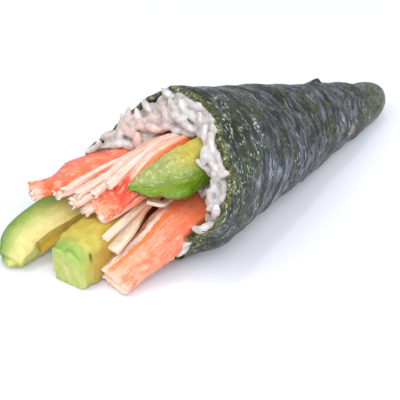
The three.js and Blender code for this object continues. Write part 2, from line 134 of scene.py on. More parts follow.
def deselect():
    bpy.ops.object.select_all(action="DESELECT")


def only(piece):
    deselect()
    piece.select_set(True)
    bpy.context.view_layer.objects.active = piece


def copied(thing):
    """A copy of an object, with a mesh of its own."""
    copy = thing.copy()
    copy.data = thing.data.copy()
    bpy.context.scene.collection.objects.link(copy)
    return copy


def extruded(name, rings):
    """A closed piece, extruded ring by ring from its first ring to its last. A ring is a
    list of points in millimetres, each with its section mark, which stays on the piece
    for its material."""
    deselect()
    bpy.ops.mesh.primitive_circle_add(vertices=len(rings[0]), radius=MM)
    piece = bpy.context.object
    piece.name = piece.data.name = name
    bpy.ops.object.mode_set(mode="EDIT")
    bpy.ops.mesh.select_all(action="SELECT")
    mesh = bmesh.from_edit_mesh(piece.data)
    section = mesh.verts.layers.float_vector.new("section")
    row = list(mesh.verts)
    for k, ring in enumerate(rings):
        if k > 0:
            bpy.ops.mesh.extrude_region_move()
            row = [drawn_from(vertex) for vertex in row]
        for vertex, (point, mark) in zip(row, ring):
            vertex.co = point * MM
            vertex[section] = mark
    bpy.ops.mesh.select_all(action="SELECT")
    bpy.ops.mesh.remove_doubles(threshold=MERGE_DISTANCE)
    bpy.ops.mesh.normals_make_consistent(inside=False)
    bpy.ops.object.mode_set(mode="OBJECT")
    bpy.ops.object.shade_smooth()
    return piece


def drawn_from(vertex):
    """The vertex that the last extrusion drew out of this one."""
    ends = (edge.other_vert(vertex) for edge in vertex.link_edges)
    return next(end for end in ends if end.select)


def worked(piece, relief):
    """Presses a piece's surface out by relief(mark), in millimetres."""
    marks = [mark.vector.copy() for mark in piece.data.attributes["section"].data]
    normals = [vertex.normal.copy() for vertex in piece.data.vertices]
    for vertex, normal, mark in zip(piece.data.vertices, normals, marks):
        vertex.co += normal * relief(mark) * MM
        vertex.co.z = max(vertex.co.z, 0.0)


def apply_modifier(piece, kind, **settings):
    only(piece)
    modifier = piece.modifiers.new(kind.title(), kind)
    for key, value in settings.items():
        setattr(modifier, key, value)
    bpy.ops.object.modifier_apply(modifier=modifier.name)


def joined(name, pieces):
    only(pieces[0])
    for piece in pieces:
        piece.select_set(True)
    bpy.ops.object.join()
    pieces[0].name = pieces[0].data.name = name
    return pieces[0]


def curve_leg(a, b, start, end, t):
    """The cubic from a to b with the given end slopes."""
    return (
        a + start * t + (b * 3 - a * 3 - start * 2 - end) * t**2
        + (a * 2 - b * 2 + start + end) * t**3
    )


def smooth_curve(points, t):
    """A point of the centripetal curve through points, at t from 0 to 1."""
    legs = len(points) - 1
    leg = min(int(t * legs), legs - 1)
    b, c = points[leg], points[leg + 1]
    a = points[leg - 1] if leg > 0 else b * 2 - c
    d = points[leg + 2] if leg + 2 <= legs else c * 2 - b
    before, here, after = ((q - p).length ** 0.5 for p, q in ((a, b), (b, c), (c, d)))
    start = ((b - a) / before - (c - a) / (before + here) + (c - b) / here) * here
    end = ((c - b) / here - (d - b) / (here + after) + (d - c) / after) * here
    return curve_leg(b, c, start, end, t * legs - leg)


def rounded_outline(corners, sides, tension):
    """Points spaced evenly round a closed outline through corners. A low tension keeps
    its sides flat and its corners crisp."""
    count = len(corners)
    fine = []
    for i in range(count):
        a, b, c, d = (Vector(corners[(i + k) % count]) for k in (-1, 0, 1, 2))
        fine += [curve_leg(b, c, (c - a) * tension, (d - b) * tension, k / CURVE_STEPS)
                 for k in range(CURVE_STEPS)]
    lengths = [(fine[(i + 1) % len(fine)] - p).length for i, p in enumerate(fine)]
    points = []
    reached, i = 0.0, 0
    for k in range(sides):
        target = sum(lengths) * k / sides
        while reached + lengths[i] < target:
            reached += lengths[i]
            i += 1
        share = (target - reached) / lengths[i]
        points.append(fine[i].lerp(fine[(i + 1) % len(fine)], share))
    return points


def station_value(stations, key, t):
    legs = len(stations) - 1
    leg = min(int(t * legs), legs - 1)
    low, high = (getattr(stations[leg + k], key) for k in (0, 1))
    return blend(low, high, ease(t * legs - leg))


def station_frame(stations, centres, t):
    """Where a section lies: its centre, the way the piece runs, its two half axes and
    its slant."""
    low, high = max(t - NEARBY, 0.0), min(t + NEARBY, 1.0)
    run = (smooth_curve(centres, high) - smooth_curve(centres, low)).normalized()
    front = run.cross(Vector((0, 0, 1))).normalized()
    up = front.cross(run)
    turn = math.radians(station_value(stations, "turn", t))
    across = front * math.cos(turn) + up * math.sin(turn)
    upward = up * math.cos(turn) - front * math.sin(turn)
    half = [station_value(stations, key, t) / 2 for key in ("width", "height")]
    slant = station_value(stations, "slant", t)
    return smooth_curve(centres, t), run, across, upward, half, slant


def loft(name, outline, stations, relief, sides, rows, tension=0.35, bulge=0.4,
         round_end=0.5):
    """A piece drawn through stations, from its free end to its buried end. A section mark
    is the share across, the share up and the distance from the free end, which is below
    zero on the end's own face."""
    points = rounded_outline(outline, sides, tension)
    stations = [Station(*station) for station in stations]
    centres = [Vector(station.at) for station in stations]
    length = sum((q - p).length for p, q in zip(centres, centres[1:]))

    def ring(along, share, inset):
        here = station_frame(stations, centres, max(along, 0.0) / length)
        centre, run, across, upward, (half_x, half_y), slant = here
        made = []
        for x, y in points:
            reach = Vector((x * half_x, y * half_y))
            reach *= share * max(1 - inset / reach.length, 0)
            point = centre + across * reach.x + upward * reach.y + run * slant * x * share
            point -= run * bulge * (1 - share * share)
            point.z = max(point.z, 0.0)
            mark = along if share == 1 else share - 1
            made.append((point, (x * share, y * share, mark)))
        return made

    rings = [ring(0, k / END_RINGS, round_end) for k in range(END_RINGS)]
    for k in range(BEND_RINGS):
        bend = k / BEND_RINGS * math.pi / 2
        rings.append(ring(round_end * (1 - math.cos(bend)), 1, round_end * (1 - math.sin(bend))))
    rings += [ring(blend(round_end, length, k / rows), 1, 0) for k in range(rows + 1)]
    closing = ring(length, 1, 0)
    middle = sum((point for point, _ in closing), Vector()) / sides
    rings.append([(middle, (0, 0, length))] * sides)
    piece = extruded(name, rings)
    worked(piece, relief)
    return piece


def fibres(spacing, depth, seed):
    """Ridges that run along a piece, for worked."""
    def relief(mark):
        around = math.atan2(mark.y * 2, mark.x) * 6 / spacing
        ridge = lumps(around, mark.z * THREAD_DRIFT, seed)
        return depth * (ridge + 0.8 * lumps(mark.x * 2, mark.y * 2, mark.z * 0.25 + seed))
    return relief


# ---- Materials ----


class Finish:
    """A procedural material, put together node by node. Its x, y and z are the section
    marks of the piece that wears it, and its colour is laid on coat by coat. A colour is
    red, green and blue in 0 to 255. Where a value is asked for, a tuple gives one that is
    eased: the value, its low and its high, and what to give at each, or else 0 and 1."""

    def __init__(self, name, **sockets):
        self.material = bpy.data.materials.new(name)
        self.material.use_nodes = True
        self.tree = self.material.node_tree
        self.shader = self.tree.nodes["Principled BSDF"]
        self.set(**sockets)
        self.section = self.add("ShaderNodeAttribute", attribute_name="section").outputs[1]
        self.x, self.y, self.z = self.add("ShaderNodeSeparateXYZ", {0: self.section}).outputs
        self.object = self.add("ShaderNodeTexCoord").outputs["Object"]
        self.colour = None

    def set(self, **sockets):
        for name, value in sockets.items():
            self.plug(value, self.shader.inputs[name.replace("_", " ")])

    def plug(self, value, socket):
        if isinstance(value, tuple) and isinstance(value[0], bpy.types.NodeSocket):
            value = self.between(*value)
        if isinstance(value, bpy.types.NodeSocket):
            self.tree.links.new(value, socket)
        elif isinstance(value, tuple) and len(value) == 3 and len(socket.default_value) == 4:
            socket.default_value = shade(*value)
        else:
            socket.default_value = value

    def add(self, kind, inputs=(), **settings):
        node = self.tree.nodes.new(kind)
        for key, value in settings.items():
            setattr(node, key, value)
        for key, value in dict(inputs).items():
            self.plug(value, node.inputs[key])
        return node

    def maths(self, operation, a, b=0.0):
        return self.add("ShaderNodeMath", {0: a, 1: b}, operation=operation).outputs[0]

    def times(self, *factors):
        return reduce(lambda a, b: self.maths("MULTIPLY", a, b), factors)

    def plus(self, *terms):
        return reduce(lambda a, b: self.maths("ADD", a, b), terms)

    def between(self, value, low, high, start=0.0, end=1.0):
        inputs = {0: value, 1: low, 2: high, 3: start, 4: end}
        node = self.add("ShaderNodeMapRange", inputs, interpolation_type="SMOOTHSTEP")
        return node.outputs[0]

    def where(self, *shares, **marks):
        """The product of shares and of the marks x, y and z, eased between their limits."""
        eased = [self.between(getattr(self, mark), *limits) for mark, limits in marks.items()]
        return self.times(*shares, *eased)

    def stretched(self, vector, scale):
        return self.add("ShaderNodeMapping", {"Vector": vector, "Scale": scale}).outputs[0]

    def noise(self, vector, scale, detail=3.0, roughness=0.55, distortion=0.0):
        inputs = {
            "Vector": vector, "Scale": scale, "Detail": detail,
            "Roughness": roughness, "Distortion": distortion,
        }
        return self.add("ShaderNodeTexNoise", inputs).outputs[0]

    def speckle(self, *settings):
        """Noise in all directions alike."""
        return self.noise(self.object, *settings)

    def drawn(self, stretch, *settings):
        """Noise that follows the section marks, and so the run of the piece."""
        return self.noise(self.stretched(self.section, stretch), *settings)

    def cells(self, vector, scale):
        inputs = {"Vector": vector, "Scale": scale}
        return self.add("ShaderNodeTexVoronoi", inputs).outputs[0]

    def mix(self, factor, a, b, blend_type="MIX"):
        node = self.add("ShaderNodeMix", data_type="RGBA", blend_type=blend_type)
        self.plug(factor, node.inputs[0])
        self.plug(a, node.inputs[6])
        self.plug(b, node.inputs[7])
        return node.outputs[2]

    def coat(self, colour, *shares, **marks):
        """Lays a colour over the ones before, by the product that where makes."""
        self.colour = self.mix(self.where(*shares, **marks), self.colour, colour)

    def ramp(self, factor, *stops):
        """Colours along a factor. A stop is its position, then red, green and blue."""
        node = self.add("ShaderNodeValToRGB", {0: factor})
        elements = node.color_ramp.elements
        while len(elements) < len(stops):
            elements.new(0.5)
        for element, (position, *colour) in zip(elements, stops):
            element.position = position
            element.color = shade(*colour)
        return node.outputs[0]

    def bump(self, height, distance, strength=1.0, under=None):
        inputs = {"Height": height, "Distance": distance, "Strength": strength}
        if under is not None:
            inputs["Normal"] = under
        return self.add("ShaderNodeBump", inputs).outputs[0]

    def done(self, roughness, normal):
        self.set(Base_Color=self.colour, Roughness=roughness, Normal=normal)
        return self

    def put_on(self, piece):
        piece.data.materials.clear()
        piece.data.materials.append(self.material)


def shade(*colour):
    """A colour given in 0 to 255, as a shader's value."""
    shares = [value / 255 for value in colour]
    linear = [share / 12.92 if share <= 0.04045 else ((share + 0.055) / 1.055) ** 2.4
              for share in shares]
    return (*linear, 1.0)


# ---- Nori ----
# A section mark on the sheet is the angle round the axis, the distance from the apex and
# the distance from the torn edge, which is below zero on the inside.

SEAM_SWEEP = 0.9
FLAP_DISTANCE = 62
FLAP_ANGLE = -42
FLAP_LIFT = 0.8
CREASE_DEPTH = 0.5
TUCK_DEPTH = 8
TUCK_LENGTH = 10
NORI_SIDES = 64
SEAM_END = 0.994
TIP_ROWS = 10
TIP_SQUARENESS = 0.66
TIP_SLANT = 1.9
TIP_MARK = 100.0
OUTER_ROWS = 52
INNER_ROWS = 12
INNER_CROWDING = 1.6
# The cone's radius about its middle, which turns an angle into a width on the sheet.
SHEET_RADIUS = 16
FOLD_DEPTH = 0.32
FINE_FOLD_DEPTH = 0.07
GRAIN_DEPTH = 0.07
CRUMB_DEPTH = 0.16
INNER_CRUMB_DEPTH = 0.12
CORNER_ANGLE = -0.42
CORNER_LIFT = 1.5
TOOTH_REACH = 3.5
# Teeth of the torn edge: their pitch round the mouth and their depth.
TEETH = [(6, 0.9), (17, 0.9), (45, 0.8)]
SEAM_CREASE = 0.9


def seam_angle(distance):
    return math.radians(FLAP_ANGLE - SEAM_SWEEP * max(distance - FLAP_DISTANCE, 0))


def crease(distance, angle):
    """Low dents round the roll, which fade out underneath and towards the tip."""
    fade = rise(distance, TIP_DISTANCE, TIP_DISTANCE + 20) * ease(2 * (1 + math.cos(angle)))
    rings = math.sin(distance * TURN / 12 + 1.4 * math.sin(2 * angle + 0.7))
    dents = math.sin(distance * TURN / 43 + 3 * angle + 1)
    return fade * CREASE_DEPTH * (0.44 * rings + 0.56 * dents)


def flap_lift(distance, angle):
    """The corner of the last turn stands up where its end leaves the tip."""
    past_seam = math.degrees(angle - seam_angle(distance))
    return FLAP_LIFT * hump(distance, FLAP_DISTANCE + 0.6, 3) * hump(past_seam, 0, 9)


def lip_tuck(distance, angle):
    """The lip curls in against the front crab stick, low on the front side."""
    degrees = math.degrees(angle) % 360
    round_by = rise(degrees, 93, 118) * rise(degrees, 165, 125)
    share = 1 - min(max((rim_at(angle) - distance) / TUCK_LENGTH, 0), 1)
    return TUCK_DEPTH * round_by * share ** 1.5


def wall_radius(distance, angle):
    return distance * SLOPE + crease(distance, angle) - lip_tuck(distance, angle)


def nori_ring(distance_at, radius_at, lowest, mark_z):
    ring = []
    for i in range(NORI_SIDES):
        u = i / (NORI_SIDES - 1) * SEAM_END
        angle = seam_angle(distance_at(0.0)) + u * TURN
        distance = distance_at(angle)
        radius = radius_at(distance, angle, u)
        point = cone_point(distance, angle, radius, lowest)
        ring.append((point, (angle, distance, mark_z(distance, angle))))
    return ring


def nori_rings():
    """The sheet's outside from the tip to its mouth, then its inside back to the tip."""
    shoulder = SHOULDER_DISTANCE * SLOPE

    def tip(k, inset):
        bend = k / TIP_ROWS * math.pi / 2
        distance = blend(TIP_DISTANCE + inset, SHOULDER_DISTANCE, 1 - math.cos(bend))
        radius = (shoulder - inset) * math.sin(bend) ** TIP_SQUARENESS
        slant = TIP_SLANT * math.sin(2 * bend)
        return nori_ring(
            lambda angle: distance - slant * math.cos(angle), lambda *_: radius, inset,
            lambda *_: TIP_MARK,
        )

    def outside(distance, angle, u):
        winding = NORI_LAYER * (1 - u) * rise(distance, SHOULDER_DISTANCE, SHOULDER_DISTANCE + 15)
        return wall_radius(distance, angle) + winding + flap_lift(distance, angle)

    def inside(distance, angle, u):
        return wall_radius(distance, angle) - 2 * NORI_LAYER

    def wall(share, radius_at, lowest, side):
        return nori_ring(
            lambda angle: blend(SHOULDER_DISTANCE, rim_at(angle), share), radius_at, lowest,
            lambda distance, angle: side * (rim_at(angle) - distance + 0.3),
        )

    rings = [tip(k, 0) for k in range(TIP_ROWS)]
    rings += [wall(k / OUTER_ROWS, outside, 0.0, 1) for k in range(OUTER_ROWS + 1)]
    rings += [wall(1 - (k / INNER_ROWS) ** INNER_CROWDING, inside, 2 * NORI_LAYER, -1)
              for k in range(INNER_ROWS + 1)]
    rings += [tip(k, 2 * NORI_LAYER) for k in reversed(range(0, TIP_ROWS, 3))]
    return rings


def corner_lift(distance, angle):
    """The crisp upper corner of the last turn."""
    across = hump(angle, CORNER_ANGLE, 0.2 if angle < CORNER_ANGLE else 0.07)
    steep, gentle = (rise(distance, FLAP_DISTANCE + run, FLAP_DISTANCE) for run in (4.5, 12))
    front = rise(distance, FLAP_DISTANCE - 0.6, FLAP_DISTANCE + 0.2)
    return CORNER_LIFT * across * (0.6 * steep + 0.4 * gentle) * front


def sheet_relief(mark):
    """Fine folds that run round the sheet, its rough grain and its lifted corner."""
    angle, distance, to_edge = mark
    around = angle * SHEET_RADIUS
    crumbs = lumps(distance * 2.3, around * 2.3, 15) * ease(1 - abs(to_edge) / 16)
    if to_edge < 0:
        return INNER_CRUMB_DEPTH * crumbs
    sway = 2.0 * lumps(distance * 0.045, around * 0.055, 3)
    folds = FOLD_DEPTH * max(ridged(distance * 0.2 + sway, around * 0.045, 1.5), 0) ** 2
    folds += FINE_FOLD_DEPTH * ridged(distance * 0.62 + sway, around * 0.1, 7.5)
    folds *= rise(distance, TIP_DISTANCE + 4, TIP_DISTANCE + 18)
    folds *= 0.35 + 0.65 * rise(angle, 0.3, 1.5)
    grain = GRAIN_DEPTH * lumps(distance * 1.1, around * 1.1, 11)
    off_the_table = ease(2.5 * (1 + math.cos(angle)))
    rough = folds + grain + CRUMB_DEPTH * crumbs
    return corner_lift(distance, angle) + off_the_table * rough


def torn_rim(piece):
    """Ragged teeth along the torn edge of the mouth."""
    for vertex, mark in zip(piece.data.vertices, piece.data.attributes["section"].data):
        angle, _, to_edge = mark.vector
        near = 1 - min(abs(to_edge) / TOOTH_REACH, 1)
        if near > 0:
            ring = Vector((math.cos(angle), math.sin(angle), 0))
            tooth = sum(depth * noise.noise(ring * pitch) for pitch, depth in TEETH)
            vertex.co += AXIS * tooth * near * MM


def crease_seam(piece):
    """Keeps the step at the sheet's outer end crisp through the subdivision."""
    marks = [mark.vector for mark in piece.data.attributes["section"].data]
    turns = [(angle - seam_angle(distance)) / TURN for angle, distance, _ in marks]
    at_seam = [turn < 0.001 or turn > SEAM_END - 0.001 for turn in turns]
    sharp = piece.data.attributes.new("crease_edge", "FLOAT", "EDGE")
    for edge, value in zip(piece.data.edges, sharp.data):
        a, b = edge.vertices
        same_side = abs(turns[a] - turns[b]) < 0.5
        value.value = SEAM_CREASE if at_seam[a] and at_seam[b] and same_side else 0.0


def make_nori():
    piece = extruded("nori_sheet", nori_rings())
    crease_seam(piece)
    apply_modifier(piece, "SUBSURF", levels=2, render_levels=2)
    worked(piece, sheet_relief)
    torn_rim(piece)
    nori_finish().put_on(piece)
    return piece


def nori_finish():
    """Moist pressed seaweed: slate and dark green, with pale streaks round the roll, partly its
    own colour and partly painted sheen.
    """
    look = Finish("pressed_seaweed", Specular_IOR_Level=0.36)
    around = look.times(look.x, SHEET_RADIUS * MM)
    along = look.times(look.y, MM)
    flat = look.add("ShaderNodeCombineXYZ", {0: around, 1: along}).outputs[0]
    sway = look.times(look.noise(flat, 48, 3, 0.6), 0.016)
    along = look.plus(along, sway)
    sheet = look.add("ShaderNodeCombineXYZ", {0: around, 1: along}).outputs[0]

    def streaky(stretch, *settings):
        """Noise on the sheet, drawn out round the roll."""
        return look.noise(look.stretched(sheet, (stretch, 1, 1)), *settings)

    def dots(stretch, scale):
        return look.cells(look.stretched(sheet, (stretch, 1, 1)), scale)

    def off_middle(value, middle, scale):
        offset = look.maths("SUBTRACT", value, middle)
        return look.maths("POWER", look.times(offset, scale), 2.0)

    near_edge = look.where(z=(30, 3))
    inner = look.where(z=(0.1, -0.3))
    shaded_low_lip = look.where(x=(1.6, 2.3), z=(34, 8))
    slate = streaky(0.5, 300, 5, 0.66)
    streaks = streaky(0.2, 1000, 5, 0.7, 0.3)
    fleck = look.speckle(900, 3, 0.7)
    olive = look.speckle(800, 4, 0.7)

    look.colour = look.mix((slate, 0.42, 0.58), (20, 26, 25), (98, 104, 113))
    # Painted sheen: pale streaks round the roll, strongest low on the front side and along the
    # top, and fainter near the edge.
    lit = look.maths("MAXIMUM", (look.x, 0.7, 1.6, 0.3, 1), (look.x, 0.2, -0.5, 0, 0.75))
    look.coat((186, 190, 206), (streaks, 0.51, 0.58),
              (streaky(0.6, 75, 4, 0.6), 0.45, 0.57), lit, (near_edge, 0.6, 1, 1, 0.25))

    patches = look.plus(
        streaky(0.42, 230, 4, 0.6), look.times(near_edge, 0.07),
        (look.noise(sheet, 60, 2), 0.38, 0.62, -0.07, 0.07),
        (look.y, 66, 36, 0, 0.07),
    )
    green = look.mix((fleck, 0.42, 0.62), (24, 34, 16), (86, 99, 46))
    look.coat(green, (patches, 0.5, 0.58), 0.9)
    look.coat((9, 14, 10), (streaky(0.3, 420, 4, 0.62), 0.5, 0.57), 0.9)
    look.coat((122, 128, 108), (slate, 0.36, 0.56, 0.2, 0.6), y=(54, 34))
    look.coat((22, 30, 16), (streaky(0.6, 340, 4, 0.65), 0.44, 0.56), z=(6, 34, 0.9, 0.3))
    # Painted shade: darker low on the front side near the mouth, where the sheet is over the
    # table.
    look.coat((14, 20, 10), shaded_low_lip, 0.6)

    edge = look.ramp(olive, (0.36, 20, 28, 12), (0.48, 58, 70, 22), (0.58, 94, 100, 38),
                     (0.68, 164, 162, 96))
    tan = look.times((look.x, 0.9, 1.3), (look.x, 2.4, 2), (olive, 0.46, 0.6, 0, 0.55))
    edge = look.mix(tan, edge, (146, 122, 68))
    look.coat(edge, 0.9, z=(5.5, 1.5))
    # Painted light: the inside is coloured paler than the sheet outside, to make up for the shade
    # inside the cone.
    inside = look.ramp(olive, (0.4, 58, 68, 54), (0.55, 120, 126, 112), (0.66, 190, 190, 164))
    look.coat(inside, inner)

    # Painted glints: pale specks on the outside, thinned out away from the mouth and fewer low on
    # the front side.
    crowded = look.maths("SUBTRACT", look.noise(sheet, 230, 3, 0.6), (look.z, 6, 46, 0, 0.2))
    painted_glints = look.maths("MAXIMUM", (dots(0.7, 1500), 0.38, 0.22), (dots(0.5, 900), 0.24, 0.16))
    look.coat((186, 202, 172), painted_glints, (crowded, 0.42, 0.53), (inner, 1, 0),
              (shaded_low_lip, 0.2, 0.9, 0.85, 0.4))

    bruise = look.plus(off_middle(look.x, 1.56, 8), off_middle(look.y, 63, 0.55))
    look.coat(look.mix(fleck, (84, 50, 40), (206, 168, 156)), (bruise, 2.4, 0.5),
              (fleck, 0.36, 0.5))

    normal = look.bump(streaks, 0.9 * MM, 0.8)
    normal = look.bump(look.speckle(1500, 3, 0.7), 1.0 * MM, (look.z, 0, 40, 1, 0.5), normal)
    gloss = (look.speckle(500, 2), 0.38, 0.62, 0.2, 0.5)
    return look.done(gloss, normal)


# ---- Avocado ----

LEFT_WEDGE = [(-0.75, 0.95), (0.15, 0.8), (1, 0.4), (0.75, -0.8), (0, -1), (-0.85, -0.65),
              (-1.05, 0.2)]
BLOCK_WEDGE = [(-1, -0.2), (-0.8, 0.88), (0.35, 1), (0.95, 0.55), (1, -0.85), (0, -1.05),
               (-1.12, -1.2)]
LENS = [(-0.95, 0.2), (-0.3, 0.95), (0.5, 0.75), (1, 0), (0.6, -0.85), (-0.3, -1)]

AVOCADO_LEFT = [
    ((-94.8, 28.6, 2.8), 9.5, 6),
    ((-88, 29, 6.4), 12.5, 11.5),
    ((-75, 26, 10.6), 14, 12),
    ((-56, 17.5, 14), 12, 11),
    ((-25, 9, 14), 8, 7),
]
AVOCADO_MIDDLE = [
    ((-90.3, 8, 7), 11.5, 14),
    ((-84, 8.6, 8.2), 13.4, 16),
    ((-70, 9, 9.5), 13.5, 16),
    ((-55, 7.5, 11), 12, 13),
    ((-22, 3, 11), 7, 8),
]
AVOCADO_TOP = [
    ((-70.1, 0.9, 29.3), 2, 2.5),
    ((-64, -2, 29.4), 8, 10),
    ((-56, -8.2, 32.4), 12, 15.4),
    ((-45, -10, 33.6), 12, 15),
    ((-12, -5, 22), 7, 8),
]
HOLLOW_DEPTH = 1.5
NICK_DEPTH = 1.1
NOTCH_DEPTH = 1.6
BELLY_HEIGHT = 1.3


def avocado_finish(name, paint, roughness=0.34, relief=0.5):
    """Soft ripe flesh in the colours that paint(look) lays on."""
    look = Finish(name, Subsurface_Weight=0.2, Subsurface_Radius=(0.003, 0.0025, 0.001),
                  Subsurface_Scale=0.5)
    paint(look)
    washed = look.mix(1.0, look.colour, (232, 228, 190), "MULTIPLY")
    look.coat(washed, (look.speckle(420, 3, 0.6), 0.44, 0.72, 0, 0.3))
    normal = look.bump(look.drawn((1.6, 1.6, 0.12), 1.7, 4, 0.6), relief * MM, 0.7)
    normal = look.bump(look.speckle(900, 2), relief * 0.4 * MM, 0.6, normal)
    gloss = (look.speckle(260, 3), 0.4, 0.65, roughness - 0.1, roughness + 0.14)
    return look.done(gloss, normal)


def left_wedge_relief(mark):
    """A sharp step where the stone's hollow starts on the inner side."""
    x, y, along = mark
    inner = rise(x, 0.68, 0.84) * rise(y, 0.42, 0.22) * rise(y, -0.75, -0.45)
    hollow = rise(along, 19.5, 21.7) * inner
    nick = hump(x, 0.9, 0.12) * hump(y, 0.42, 0.2) * hump(along, 20.8, 1.2)
    soft = lumps(x * 2.4, y * 2.4, along * 0.16)
    return 0.35 * soft - HOLLOW_DEPTH * hollow - NICK_DEPTH * nick


def paint_left_wedge(look):
    """Green skin side to yellow flesh, and a golden hollow past the stone's step."""
    across = look.plus(look.x, look.times(look.speckle(110, 3), 0.5))
    look.colour = look.ramp(
        (across, -0.85, 1.35),
        (0, 84, 118, 40), (0.16, 112, 138, 52), (0.34, 146, 164, 76),
        (0.56, 178, 182, 104), (0.82, 196, 190, 124), (1, 198, 184, 112),
    )
    hollow = look.mix((look.y, -0.6, 0.35), (196, 164, 60), (226, 200, 108))
    cut = look.mix((look.y, -0.7, -0.3), (160, 168, 54), (184, 180, 98))
    inner = look.mix((look.z, 18.5, 21), cut, hollow)
    look.coat(inner, y=(0.44, 0.3), x=(0.45, 0.7))
    look.coat((166, 186, 44), 0.6, z=(7, 0), y=(0.7, 0))


def middle_block_relief(mark):
    """Ridges down the cut face, and the torn notch on the right."""
    x, y, along = mark
    ridges = lumps(x * 4.5, y * 0.6, 2) * rise(along, 6, 0)
    soft = lumps(x * 2.4, y * 2.4, along * 0.22 + 9)
    notch = hump(y, 0.4, 0.22) * hump(along, 13.5, 1.6) * rise(x, 0.7, 0.9)
    return 0.4 * ridges + 0.5 * soft - NOTCH_DEPTH * notch


def paint_middle_block(look):
    """Green at the free end, yellow to gold further in, painted shade in the notch, and painted
    red-brown shade on the deep end.
    """
    run = look.plus(look.z, look.times(look.speckle(170, 3), 9))
    look.colour = look.ramp(
        (run, 2, 34),
        (0, 128, 160, 66), (0.2, 134, 162, 70), (0.45, 166, 168, 76),
        (0.75, 184, 172, 76), (1, 180, 158, 58),
    )
    side = look.ramp((run, 3, 30), (0, 172, 178, 84), (0.3, 168, 160, 72), (1, 166, 138, 50))
    look.coat(side, x=(0.55, 0.9), y=(0.75, 0.3))
    streak = look.drawn((5, 0.8, 0.2), 1.3, 3)
    face = look.mix((streak, 0.35, 0.65), (166, 178, 84), (190, 192, 112))
    face = look.mix((look.y, 0.2, 0.8, 0, 0.6), face, (150, 180, 82))
    look.coat(face, z=(2.6, -0.1))
    # Painted shade: dark olive in the notch on the right side.
    look.coat((92, 92, 20), look.where(x=(0.8, 0.9), y=(0.12, 0.34), z=(12, 13)),
              0.7, y=(0.66, 0.5), z=(15.6, 14.4))
    # Painted shade: dark red-brown over the whole deep end, from 43 mm in.
    look.coat((122, 46, 20), z=(43, 46))


def top_wedge_relief(mark):
    """A ridge along the side, a ragged lower edge and a full belly."""
    x, y, along = mark
    soft = lumps(x * 2, y * 2, along * 0.2 + 30)
    wet = lumps(x * 5, y * 5, along * 0.5 + 5)
    ridge = hump(y - 0.15 * x, 0.1, 0.12)
    ragged = rise(y, -0.75, -0.9) * lumps(x * 4, 2, along * 1.2)
    belly = rise(y, -0.4, -0.8) * hump(along, 27, 7)
    return 0.4 * soft + 0.25 * wet + 0.35 * ridge + 0.6 * ragged + BELLY_HEIGHT * belly


def paint_top_wedge(look):
    """Pale where it faces up, a strong green below, dark green at its right corner, and painted
    highlights as pale specks and glints on the upper side.
    """
    up = look.plus(look.y, look.times(look.speckle(150, 3), 0.4))
    look.colour = look.ramp(
        (up, -0.8, 1.25),
        (0, 94, 130, 8), (0.3, 114, 156, 18), (0.58, 108, 130, 32),
        (0.72, 116, 136, 54), (0.84, 132, 148, 70), (1, 146, 152, 86),
    )
    # Painted highlights: pale specks, most where the wedge faces up.
    speck = look.times((look.speckle(700, 3, 0.65), 0.52, 0.64), (up, 0.5, 1, 0.12, 0.45))
    look.coat((200, 206, 148), speck)
    # Painted highlights: pale glints drawn along the piece across its upper side.
    glints = look.drawn((1.3, 1.3, 0.05), 6, 3, 0.6, 0.6)
    look.coat((214, 226, 172), (glints, 0.57, 0.64),
              look.where(y=(0, 0.2), z=(8, 12)), 0.7, y=(0.8, 0.5), z=(32, 26))
    look.coat((184, 168, 62), 0.85, y=(0.2, 0.7), z=(24, 36))
    look.coat((74, 98, 4), 0.4, y=(0.1, -0.4), z=(26, 34))
    look.coat((104, 84, 30), (speck, 0, 0.3, 1, 0.5), y=(-0.64, -0.8))


def make_avocados():
    left = loft("avocado_left_wedge", LEFT_WEDGE, AVOCADO_LEFT, left_wedge_relief,
                sides=84, rows=96, tension=0.24, bulge=2.0, round_end=1.6)
    avocado_finish("avocado_left_flesh", paint_left_wedge).put_on(left)
    middle = loft("avocado_middle_block", BLOCK_WEDGE, AVOCADO_MIDDLE, middle_block_relief,
                  sides=84, rows=90, tension=0.2, round_end=0.9)
    avocado_finish("avocado_middle_flesh", paint_middle_block, 0.42, 0.9).put_on(middle)
    top = loft("avocado_top_wedge", LENS, AVOCADO_TOP, top_wedge_relief,
               sides=84, rows=90, tension=0.2)
    avocado_finish("avocado_top_flesh", paint_top_wedge, 0.16, 1.1).put_on(top)
    return {"avocado_left": left, "avocado_middle": middle, "avocado_top": top}


# ---- Crab sticks ----

SLAB = [(-1, 0), (-0.86, 0.85), (0, 1), (0.86, 0.85), (1, 0), (0.86, -0.85), (0, -1),
        (-0.86, -0.85)]

CRAB_FRONT = [
    ((-82.3, -1.8, 2.7), 15, 5.4),
    ((-70, -4, 8), 15.2, 6),
    ((-56, -6.5, 14.4), 15, 6.4),
    ((-20, -5, 17), 10, 5.5),
]
CRAB_LEFT = [
    ((-82.5, 30.3, 21.3), 2, 6.5),
    ((-78.5, 28, 22), 5, 4.5),
    ((-75, 25, 23), 9, 4.5),
    ((-68, 22.5, 24.5), 12, 5.5),
    ((-54, 16, 24.6), 12, 6),
    ((-20, 6, 20), 7, 5),
]
CRAB_TOP = [
    ((-74, 12.5, 20), 15, 3.6, -15, -1.5),
    ((-68.5, 10.5, 22.8), 17, 6, -8),
    ((-54, 3.8, 33), 17, 6.5, 25),
    ((-18, 2, 26), 8, 6, 15),
]
